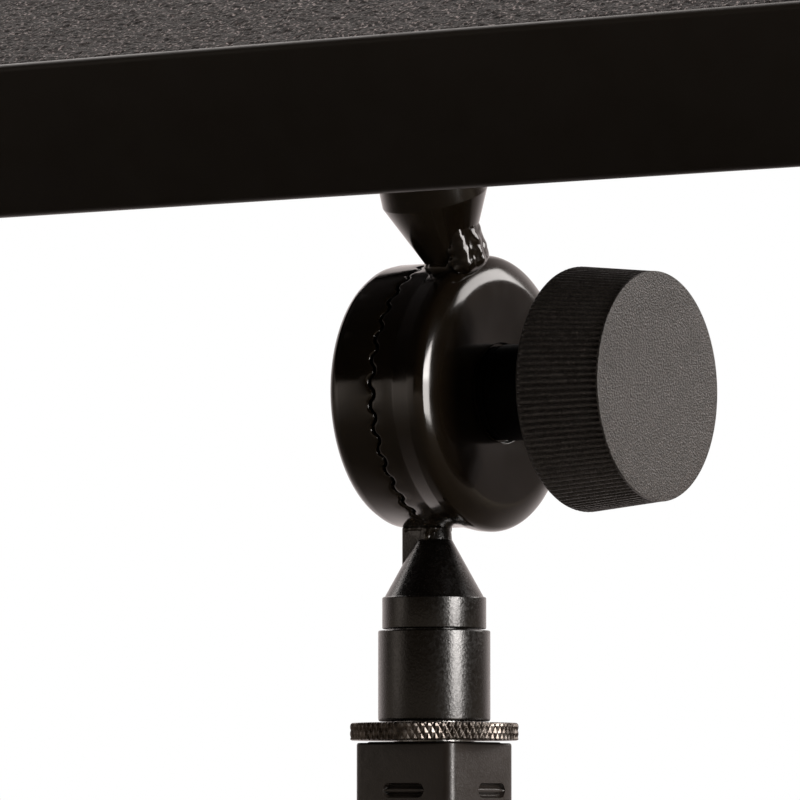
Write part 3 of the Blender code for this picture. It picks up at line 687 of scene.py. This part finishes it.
RIBS = 118
RIB_DEPTH = 0.60 * MM
KNOB_TAPER = 1.6 * MM             # by which the face's radius is less than the back's
KNOB_EDGE_R = 2 * MM              # rounding of the back edge
KNOB_SOCKET_R = 7.5 * MM
KNOB_HOLLOW = 5 * MM              # depth of the groove round the socket's wall
KNOB_WEB = 4 * MM                 # thickness of the face over the socket


def make_tilt_knob():
    """Tapered rim with ribs and a rounded back edge, a hollow back and a flat grained face."""
    low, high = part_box("tilt_knob")
    back_r = round_radius("tilt_knob")
    front_r = back_r - KNOB_TAPER
    back, front = low.x, high.x
    rib_start, rib_end = back + 1.3 * MM, front - 0.5 * MM

    def ribbed(radius, height, angle):
        if radius < front_r - 1.0 * MM or not rib_start < height < rib_end:
            return radius, height
        groove = abs(math.cos(RIBS * angle / 2)) ** 4
        return radius - RIB_DEPTH * groove, height

    web, wall_end, hollow = front - KNOB_WEB, back + 0.3 * MM, back + KNOB_HOLLOW
    corners = [(KNOB_SOCKET_R, web), (KNOB_SOCKET_R, wall_end, 0.2 * MM), (12 * MM, wall_end, 0.4 * MM)]
    corners += [(12.4 * MM, hollow, 0.8 * MM), (20 * MM, hollow, 0.8 * MM), (20.5 * MM, back, 0.4 * MM)]
    edge_end = back + KNOB_EDGE_R
    for step in range(7):
        turn = math.radians(15 * step)
        out = back_r - KNOB_EDGE_R + KNOB_EDGE_R * math.sin(turn)
        corners.append((out, edge_end - KNOB_EDGE_R * math.cos(turn)))
    for step in range(1, 6):
        share = step / 6
        corners.append((back_r + (front_r - back_r) * share, edge_end + (rib_end - edge_end) * share))
    corners += [(front_r, rib_end - 0.05 * MM), (front_r, rib_end + 0.05 * MM), (front_r, front, 0.18 * MM)]
    corners += [(front_r * 0.8, front), (front_r * 0.4, front), (0, front)]
    shape = turned([(0, web)] + filleted(corners), RIBS * 10, CLUTCH_AXIS, ribbed)
    add_piece("tilt_knob_grip", shape, FINISH["knob"], "tilt_clamp", "knob_plastic", "tilt_knob",
              smooth_angle=50)


def make_knob_hub():
    """Sleeve between the clutch and the tilt knob, with a smaller neck at the knob's end."""
    low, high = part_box("knob_hub")
    radius = round_radius("knob_hub")
    bore = 4.3 * MM
    neck = radius - 0.5 * MM
    corners = [(bore, low.x), (radius, low.x, 0.5 * MM), (radius, high.x - 2 * MM, 0.3 * MM)]
    corners += [(neck, high.x - 1.6 * MM, 0.2 * MM), (neck, high.x), (bore, high.x)]
    shape = turned(filleted(corners, True), 96, CLUTCH_AXIS)
    # The hub takes the near-black painted shade finish, for the clutch's shade it sits in.
    add_piece("knob_hub_sleeve", shape, FINISH["matt"], "tilt_clamp", "knob_plastic", "knob_hub")


# Welds

WELD_VOXEL = 0.25 * MM
RIPPLE_HEIGHT = 0.20 * MM
WIDE_RIPPLE = 2.3 * MM
FINE_RIPPLE = 1.1 * MM
BEAD_JITTER = 0.12                # share of the bead's radius by which each blob strays


def weld_lump(name, blobs, finish, body):
    """Fuses overlapping blobs into one lumpy bead. Each blob is (centre, radius)."""
    mesh = bmesh.new()
    for centre, radius in blobs:
        bmesh.ops.create_icosphere(mesh, subdivisions=3, radius=radius, matrix=Matrix.Translation(centre))
    data = bpy.data.meshes.new(name)
    mesh.to_mesh(data)
    mesh.free()
    made = add_object(name, data)
    fuse = made.modifiers.new("fuse", "REMESH")
    fuse.mode = "VOXEL"
    fuse.voxel_size = WELD_VOXEL
    soften = made.modifiers.new("soften", "SMOOTH")
    soften.factor = 0.5
    soften.iterations = 9
    bpy.context.view_layer.update()
    apply_modifiers(made)
    normals = [vertex.normal.copy() for vertex in made.data.vertices]
    for vertex, normal in zip(made.data.vertices, normals):
        ripple = noise.noise(vertex.co / WIDE_RIPPLE) + 0.4 * noise.noise(vertex.co / FINE_RIPPLE)
        vertex.co += normal * RIPPLE_HEIGHT * ripple
    made.data.shade_smooth()
    made.data.materials.clear()
    made.data.materials.append(finish)
    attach(made, body)
    return made


def bead(points, radius, chance):
    """Blobs strung along a line, uneven as a hand-laid weld is."""
    blobs = []
    for start, end in zip(points, points[1:]):
        steps = max(2, int((end - start).length / (radius * 0.4)))
        for step in range(steps):
            spot = start.lerp(end, step / steps)
            shift = Vector([chance.uniform(-1, 1) for _ in range(3)]) * radius * BEAD_JITTER
            blobs.append((spot + shift, radius * chance.uniform(0.75, 1.15)))
    return blobs


# Stem and neck

def make_upper_stem():
    """Turned collar with a cone, and the spigot that goes up through the tray's channel."""
    low, high = local_box("upper_stem", DESK)
    channel_low = local_box("tray_channel", DESK)[0]
    radius = (high.y - low.y) / 2
    x = low.x + radius
    bottom = low.z - 0.6 * MM
    cone_top = low.z + 13.4 * MM
    collar_top = channel_low.z - 0.4 * MM
    spigot_r = 5 * MM
    place = DESK @ Matrix.Translation((x, 0, 0))
    corners = [(0, bottom), (4.0 * MM, bottom), (radius, cone_top, 0.5 * MM), (radius, collar_top, 0.6 * MM)]
    corners += [(spigot_r, collar_top), (spigot_r, high.z, 0.5 * MM), (0, high.z)]
    shape = turned(filleted(corners), 128, place)
    add_piece("upper_stem_collar", shape, FINISH["gloss"], "desk", "gloss_paint", "upper_stem")
    weld_lump("stem_weld", stem_weld_blobs(x, low.z), FINISH["gloss"], "desk")


def stem_weld_blobs(x, bottom):
    """The lug welded between the cone and the front cup, with its uneven bead."""
    chance = random.Random(7)
    blobs = []
    tip_r = 3.4 * MM
    for angle in range(0, 360, 20):
        turn = math.radians(angle)
        spot = Vector((x + tip_r * math.cos(turn), tip_r * math.sin(turn), bottom + 0.1 * MM))
        blobs.append((DESK @ spot, chance.uniform(1.6, 2.1) * MM))
    upper = Vector((x + 5.6 * MM, -0.5 * MM, bottom + 8.0 * MM))
    lower = Vector((x + 6.6 * MM, -0.5 * MM, bottom + 0.6 * MM))
    lug_r = 2.0 * MM
    for layer in range(-5, 6):
        depth = layer * 0.5 * MM
        for step in range(12):
            spot = upper.lerp(lower, step / 11) + Vector((-0.25 * abs(depth), depth, 0))
            blobs.append((DESK @ spot, lug_r))
    filling = [(2.6, 0, 5.0, 3.0), (3.6, 0, 2.6, 3.2), (4.6, 0, 0.4, 2.8), (2.0, 0, 1.0, 2.8)]
    blobs += [(DESK @ Vector((x + a * MM, b * MM, bottom + c * MM)), r * MM) for a, b, c, r in filling]
    lumps = [(3.6, -3.2, 6.3, 1.5), (5.2, -3.0, 5.2, 1.3), (4.3, -3.6, 3.9, 1.5), (6.4, -2.9, 3.6, 1.2)]
    lumps += [(5.4, -3.5, 2.0, 1.5), (3.8, -3.7, 1.4, 1.3), (6.8, -2.8, 1.2, 1.3), (4.8, -3.9, 0.0, 1.2)]
    for a, b, c, r in lumps:
        shift = Vector([chance.uniform(-0.15, 0.15) * MM for _ in range(3)])
        blobs.append((DESK @ (Vector((x + a * MM, b * MM, bottom + c * MM)) + shift), r * MM))
    return blobs


def make_lower_neck():
    """Cone with its milled blade, short cylinder and hidden spigot."""
    low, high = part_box("lower_neck")
    sleeve_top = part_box("threaded_sleeve")[1].z
    step = sleeve_top + 0.3 * MM
    cone_base = step + 6.3 * MM
    radius = (high.y - low.y) / 2
    spigot_r = 7.6 * MM
    top = high.z + 0.3 * MM
    corners = [(0, low.z), (spigot_r, low.z, 0.5 * MM), (spigot_r, step), (radius, step, 0.3 * MM)]
    corners += [(radius, cone_base - 0.1 * MM, 0.35 * MM), (radius - 0.5 * MM, cone_base, 0.1 * MM)]
    corners += [(3.5 * MM, cone_base + 11.2 * MM, 0.4 * MM), (3.3 * MM, top), (0, top)]
    shape = turned(filleted(corners), 128)
    neck = add_piece("lower_neck_cone", shape, FINISH["oxide"], "head", "gloss_paint", "lower_neck")
    blade_middle = Matrix.Translation((-1.85 * MM, 0, (high.z + cone_base) / 2))
    half_height = (high.z - cone_base) / 2 + 0.3 * MM
    outline = rounded_rectangle(3.85 * MM, 3.1 * MM, 0.5 * MM)
    rings = [at_height(outline, side * half_height, blade_middle) for side in (-1, 1)]
    carve(neck, [add_object("blade", to_mesh("blade", lofted(rings)))], "UNION")
    shade(neck.data)
    weld_lump("neck_weld", neck_weld_blobs(high.z), FINISH["gloss"], "head")


def neck_weld_blobs(top):
    """Bead round the top of the neck where it meets the back cup, with one run down the front."""
    chance = random.Random(3)
    corners = [(-5.0, -2.5), (1.6, -2.7), (2.6, 0), (1.6, 2.7), (-5.0, 2.5), (-5.4, 0), (-5.0, -2.5)]
    path = [Vector((x * MM, y * MM, top + 0.1 * MM)) for x, y in corners]
    blobs = bead(path, 0.8 * MM, chance)
    drip = [Vector((0.6 * MM, -2.9 * MM, top)), Vector((0.2 * MM, -3.0 * MM, top - 2.2 * MM))]
    return blobs + bead(drip, 0.95 * MM, chance)


def make_sleeve():
    """Plain turned sleeve round the neck's spigot."""
    low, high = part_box("threaded_sleeve")
    radius = (high.x - low.x) / 2
    bore = 8.3 * MM
    corners = [(bore, low.z), (radius, low.z, 0.6 * MM), (radius, high.z, 0.35 * MM), (bore, high.z)]
    shape = turned(filleted(corners, True), 160)
    add_piece("adaptor_sleeve", shape, FINISH["oxide"], "head", "satin_paint", "threaded_sleeve")


KNURL_COUNT = 74
KNURL_SLANT = math.radians(28)
KNURL_DEPTH = 0.30 * MM
KNURL_REACH = 0.35 * MM           # the knurl shapes what lies within this of the ring's radius
KNURL_ROWS = 26
RING_CHAMFER = 0.36 * MM          # by which the chamfers narrow the ring at its ends
RING_EDGE = 0.05 * MM             # and where they start
RING_MARGIN = 0.15 * MM           # between each end of the ring and the knurl


def make_lock_ring():
    """Thin ring with a diamond knurl cut into its rim."""
    low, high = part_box("lock_ring")
    radius = (high.x - low.x) / 2
    bore = 8.2 * MM
    pitch = 2 * math.pi * radius / KNURL_COUNT

    def ridge(turns):
        return 1 - abs(2 * (turns % 1) - 1)

    def knurled(at_radius, height, angle):
        if at_radius < radius - KNURL_REACH:
            return at_radius, height
        along = angle * radius / pitch
        slant = (height - low.z) * math.tan(KNURL_SLANT) / pitch
        diamond = min(ridge(along + slant), ridge(along - slant))
        return at_radius - KNURL_DEPTH * (1 - min(1, 1.15 * diamond)), height

    inner, outer = radius - RING_CHAMFER, radius - RING_EDGE
    start, end = low.z + RING_MARGIN, high.z - RING_MARGIN
    corners = [(bore, low.z), (inner, low.z), (outer, start)]
    for row in range(1, KNURL_ROWS):
        corners.append((radius, start + (high.z - low.z - 2 * RING_MARGIN) * row / KNURL_ROWS))
    corners += [(outer, end), (inner, high.z), (bore, high.z)]
    shape = turned(corners, KNURL_COUNT * 14, Matrix(), knurled)
    add_piece("lock_ring_knurled", shape, FINISH["knurl"], "ring", "knurled_steel", "lock_ring",
              smooth_angle=20)


# Mast

SLOT_LENGTH = 9.6 * MM
SLOT_HEIGHT = 2.9 * MM
SLOT_DEPTH = 1.2 * MM
SLOT_DROP = 9.3 * MM              # of the stake slots, from the tube's end
SLOT_SHIFTS = (2.9 * MM, -2.0 * MM, 1.0 * MM, 0.3 * MM)
BAR_HEIGHT = 0.75 * MM            # of the metal pressed up along a slot's middle
BAR_WIDTH = 0.42                  # as a share of half the slot's height
TUBE_EDGE = 0.3 * MM              # rounding of a tube's cut edges, but for its outer top edge


def stake_slot(face_turn, half, height, shift):
    """Cutter for one stake mark: a long dent with a bar of pressed-in metal along its middle."""
    section = []
    for step in range(25):
        t = -1 + 2 * step / 24
        floor = SLOT_DEPTH * (1 - abs(t) ** 6)
        bar = BAR_HEIGHT * math.exp(-(t / BAR_WIDTH) ** 4)
        section.append((t * SLOT_HEIGHT / 2, max(floor - bar, 0.05 * MM)))
    rings = []
    stations = 21
    for station in range(stations):
        along = (-1 + 2 * station / (stations - 1)) * SLOT_LENGTH / 2
        inside = SLOT_LENGTH / 2 - SLOT_HEIGHT / 2
        over = max(0, abs(along) - inside) / (SLOT_HEIGHT / 2)
        share = max(math.sqrt(max(0, 1 - over ** 2)), 0.12)
        outline = [(z * share, half - depth * min(1, share * 1.4)) for z, depth in section]
        outline += [(outline[-1][0], half + 1 * MM), (outline[0][0], half + 1 * MM)]
        rings.append([face_turn @ Vector((out, along + shift, height + z)) for z, out in outline])
    return add_object("slot", to_mesh("slot", lofted(rings)))


def square_tube(node, wall, corner, top_edge):
    """A node's square tube, with its wall, corner radius and the rounding of its outer top edge."""
    low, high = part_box(node)
    half = (high.x - low.x) / 2
    outside = [(0, low.z, TUBE_EDGE), (0, high.z, top_edge)]
    inside = [(wall, high.z, TUBE_EDGE), (wall, low.z, TUBE_EDGE)]
    rings = []
    for inset, height in filleted(outside + inside, True):
        outline = rounded_rectangle(half - inset, half - inset, corner - inset, 8)
        rings.append(at_height(outline, height))
    return lofted(rings, ring=True)


def make_inner_mast():
    """Inner tube with a stake mark in each face near its top."""
    low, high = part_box("inner_mast")
    half = (high.x - low.x) / 2
    shape = square_tube("inner_mast", 1.5 * MM, 2.0 * MM, 0.5 * MM)
    mast = add_piece("inner_mast_tube", shape, FINISH["tube"], "mast", "satin_paint", "inner_mast")
    slots = []
    for quarter in range(4):
        turn = Matrix.Rotation(math.radians(90 * quarter), 4, "Z")
        slots.append(stake_slot(turn, half, high.z - SLOT_DROP, SLOT_SHIFTS[quarter]))
    carve(mast, slots)
    shade(mast.data, 40)


def make_outer_mast():
    shape = square_tube("outer_mast", 1.8 * MM, 2.5 * MM, 0.4 * MM)
    add_piece("outer_mast_tube", shape, FINISH["tube"], "base", "satin_paint", "outer_mast")


LOBES = 6
LOBE_DEPTH = 0.07                 # as a share of the knob's radius
LOBE_START_R = 10 * MM
LOBE_FULL_R = 16 * MM             # radius from which the lobes have their full depth


def make_height_knob():
    """Six-lobed hand knob with a rounded rim and a collar."""
    low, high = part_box("height_knob")
    radius = round_radius("height_knob")
    collar_r = 9.5 * MM
    bore = 4.3 * MM
    place = Matrix.Translation((0, 0, middle("height_knob").z)) @ ALONG_X
    body_start = low.x + 7 * MM
    dish = high.x - 0.8 * MM

    def lobed(at_radius, height, angle):
        if height < body_start - 0.1 * MM or at_radius < LOBE_START_R:
            return at_radius, height
        share = min(1, (at_radius - LOBE_START_R) / (LOBE_FULL_R - LOBE_START_R))
        return at_radius * (1 - LOBE_DEPTH * share * (1 - math.cos(LOBES * angle))), height

    screw_end = high.x - 6 * MM
    corners = [(bore, screw_end), (bore, low.x, 0.3 * MM), (collar_r, low.x, 0.6 * MM)]
    corners += [(collar_r, body_start, 1.0 * MM), (radius, body_start, 2.0 * MM), (radius, high.x, 3.0 * MM)]
    corners += [(11 * MM, high.x, 0.8 * MM), (10.4 * MM, dish, 0.5 * MM), (0, dish)]
    shape = turned([(0, screw_end)] + filleted(corners), 180, place, lobed)
    add_piece("height_knob_grip", shape, FINISH["nylon"], "height_clamp", "knob_plastic", "height_knob")


# Everything whose CAD shape only needs softer edges

def make_refined():
    refined("tray_channel", FINISH["satin"], "desk", "satin_paint", 0.5 * MM)
    refined("mast_collar", FINISH["satin"], "base", "satin_paint", 1.2 * MM, 4)
    refined("mast_bushing", FINISH["nylon"], "base", "knob_plastic", 0.4 * MM)
    refined("base_hub", FINISH["satin"], "base", "satin_paint", 1.5 * MM, 4)
    refined("base_bolt", FINISH["zinc"], "base", "plated_steel", 0.5 * MM)
    refined("base_washer", FINISH["zinc"], "base", "plated_steel", 0.3 * MM)
    refined("stem_nut", FINISH["zinc"], "desk", "plated_steel", 0.5 * MM)
    refined("stem_washer", FINISH["zinc"], "desk", "plated_steel", 0.3 * MM)
    for number in range(1, 5):
        refined(f"leg_{number}", FINISH["tube"], "base", "satin_paint", 0.4 * MM)
        refined(f"foot_{number}", FINISH["rubber"], "base", "rubber", 1.0 * MM, 4)
        refined(f"leg_screw_{number}", FINISH["zinc"], "base", "plated_steel", 0.3 * MM)
        refined(f"tray_nut_{number}", FINISH["zinc"], "desk", "plated_steel", 0.4 * MM)


def finish_kept_nodes():
    """CAD nodes that stay as they are take a finish of their own."""
    zinc = ["clutch_bolt", "clutch_spring", "knob_insert", "stud_plug", "clamp_shoe", "height_screw"]
    zinc += ["mast_plug"] + [f"tray_stud_{number}" for number in range(1, 5)]
    for node in zinc + ["thrust_washer"]:
        data = NODES[node].data
        data.materials.clear()
        # The thrust washer takes the near-black painted shade finish instead of zinc, for the shade it sits
        # in.
        data.materials.append(FINISH["zinc" if node in zinc else "matt"])


# Stage

CAMERA_AZIMUTH = math.radians(33.19)
CAMERA_PITCH = math.radians(3.755)
CAMERA_YAW = math.radians(0.298)
CAMERA_DISTANCE = 1.2906
CAMERA_DROP = 0.0855              # below the clutch's centre
FOCAL_LENGTH = 296.3              # in mm, for a sensor of the width below
SENSOR_WIDTH = 36


def make_camera():
    data = bpy.data.cameras.new("camera")
    data.sensor_width = SENSOR_WIDTH
    data.lens = FOCAL_LENGTH
    camera = add_object("camera", data)
    camera.location = CLUTCH + Vector((math.sin(CAMERA_AZIMUTH) * CAMERA_DISTANCE,
                                       -math.cos(CAMERA_AZIMUTH) * CAMERA_DISTANCE, -CAMERA_DROP))
    camera.rotation_euler = (math.pi / 2 + CAMERA_PITCH, 0, CAMERA_AZIMUTH + CAMERA_YAW)
    bpy.context.scene.camera = camera


def direction(azimuth, elevation):
    """Unit vector from the object: azimuth 0 is the player's side, -Y, and 90 is +X."""
    a, e = math.radians(azimuth), math.radians(elevation)
    return Vector((math.sin(a) * math.cos(e), -math.cos(a) * math.cos(e), math.sin(e)))


WARM = (1.0, 0.955, 0.925)


def soft_light(name, azimuth, elevation, distance, size, radiance, colour=(1, 1, 1)):
    """A rectangular softbox that faces the clutch. Power follows from the radiance it shows."""
    data = bpy.data.lights.new(name, "AREA")
    data.shape = "RECTANGLE"
    data.size, data.size_y = size
    data.energy = radiance * math.pi * size[0] * size[1]
    data.color = colour
    light = add_object(name, data)
    toward = direction(azimuth, elevation)
    light.location = CLUTCH + toward * distance
    light.rotation_euler = toward.to_track_quat("Z", "Y").to_euler()
    light.visible_camera = False
    return light


def colour_ramp(nodes, stops):
    ramp = nodes.new("ShaderNodeValToRGB")
    elements = ramp.color_ramp.elements
    while len(elements) < len(stops):
        elements.new(0.5)
    for element, (position, colour) in zip(elements, stops):
        element.position = position
        element.color = (*colour, 1)
    return ramp


def lighter(nodes, links, first, second):
    """The lighter of two colours."""
    joined = nodes.new("ShaderNodeMix")
    joined.data_type = "RGBA"
    joined.blend_type = "LIGHTEN"
    joined.inputs["Factor"].default_value = 1.0
    links.new(first, joined.inputs[6])
    links.new(second, joined.inputs[7])
    return joined.outputs[2]


def glow(nodes, links, facing, towards, stops):
    """Light that depends on how nearly a direction faces a given one."""
    share = nodes.new("ShaderNodeVectorMath")
    share.operation = "DOT_PRODUCT"
    share.inputs[1].default_value = towards
    links.new(facing, share.inputs[0])
    ramp = colour_ramp(nodes, stops)
    links.new(share.outputs["Value"], ramp.inputs["Fac"])
    return ramp.outputs["Color"]


def make_world():
    """White to the camera. Its light is bright behind the object and dark in front, with a glow
    at the left and a paler ring just below the horizon."""
    world = bpy.data.worlds.new("studio")
    bpy.context.scene.world = world
    world.use_nodes = True
    nodes, links = world.node_tree.nodes, world.node_tree.links
    nodes.clear()
    facing = nodes.new("ShaderNodeTexCoord").outputs["Generated"]
    behind = -direction(math.degrees(CAMERA_AZIMUTH), 0)
    backdrop = [(0.0, (0.055, 0.041, 0.028)), (0.40, (0.22, 0.18, 0.16)), (0.60, (0.55, 0.47, 0.44)),
                (0.80, (1.0, 0.89, 0.86))]
    left = [(0.90, (0.0, 0.0, 0.0)), (0.97, (0.40, 0.34, 0.29)), (1.0, (0.95, 0.82, 0.72))]
    floor = [(0.0, (0.0, 0.0, 0.0)), (0.03, (0.42, 0.35, 0.28)), (0.15, (0.27, 0.22, 0.175)),
             (0.40, (0.10, 0.08, 0.062)), (1.0, (0.035, 0.028, 0.022))]
    light = glow(nodes, links, facing, behind, backdrop)
    light = lighter(nodes, links, light, glow(nodes, links, facing, direction(-50, 4), left))
    light = lighter(nodes, links, light, glow(nodes, links, facing, Vector((0, 0, -1)), floor))
    surroundings = nodes.new("ShaderNodeBackground")
    links.new(light, surroundings.inputs["Color"])
    white = nodes.new("ShaderNodeBackground")
    white.inputs["Color"].default_value = (1, 1, 1, 1)
    ray = nodes.new("ShaderNodeLightPath")
    mix = nodes.new("ShaderNodeMixShader")
    output = nodes.new("ShaderNodeOutputWorld")
    links.new(ray.outputs["Is Camera Ray"], mix.inputs["Fac"])
    links.new(surroundings.outputs["Background"], mix.inputs[1])
    links.new(white.outputs["Background"], mix.inputs[2])
    links.new(mix.outputs["Shader"], output.inputs["Surface"])


def make_floor():
    half = 6.0
    outline = [(-half, -half), (half, -half), (half, half), (-half, half)]
    data = bpy.data.meshes.new("floor")
    data.from_pydata([(x, y, 0) for x, y in outline], [], [(0, 1, 2, 3)])
    floor = add_object("floor", data)
    paper = bpy.data.materials.new("pale_floor")
    paper.use_nodes = True
    shader = paper.node_tree.nodes["Principled BSDF"]
    shader.inputs["Base Color"].default_value = (0.80, 0.80, 0.79, 1)
    shader.inputs["Roughness"].default_value = 0.9
    data.materials.append(paper)
    floor.visible_glossy = False


def make_lights():
    soft_light("strip_high", 81, 24, 1.3, (0.50, 0.80), 24.0, WARM)
    soft_light("strip_low", 80, -1, 1.3, (0.50, 0.42), 14.0, WARM)
    soft_light("overhead", 170, 62, 1.6, (1.2, 1.2), 1.2)
    soft_light("far_right", 142, 20, 1.5, (0.7, 0.4), 7.0, WARM)
    soft_light("overhead_left", -105, 50, 1.5, (1.2, 1.2), 2.6, WARM)


make_tray_pan()
make_foam()
make_back_cup()
make_front_cup()
make_tilt_knob()
make_knob_hub()
make_upper_stem()
make_lower_neck()
make_sleeve()
make_lock_ring()
make_inner_mast()
make_outer_mast()
make_height_knob()
make_refined()
finish_kept_nodes()
make_camera()
make_world()
make_floor()
make_lights()
bpy.context.scene.view_settings.view_transform = "Standard"
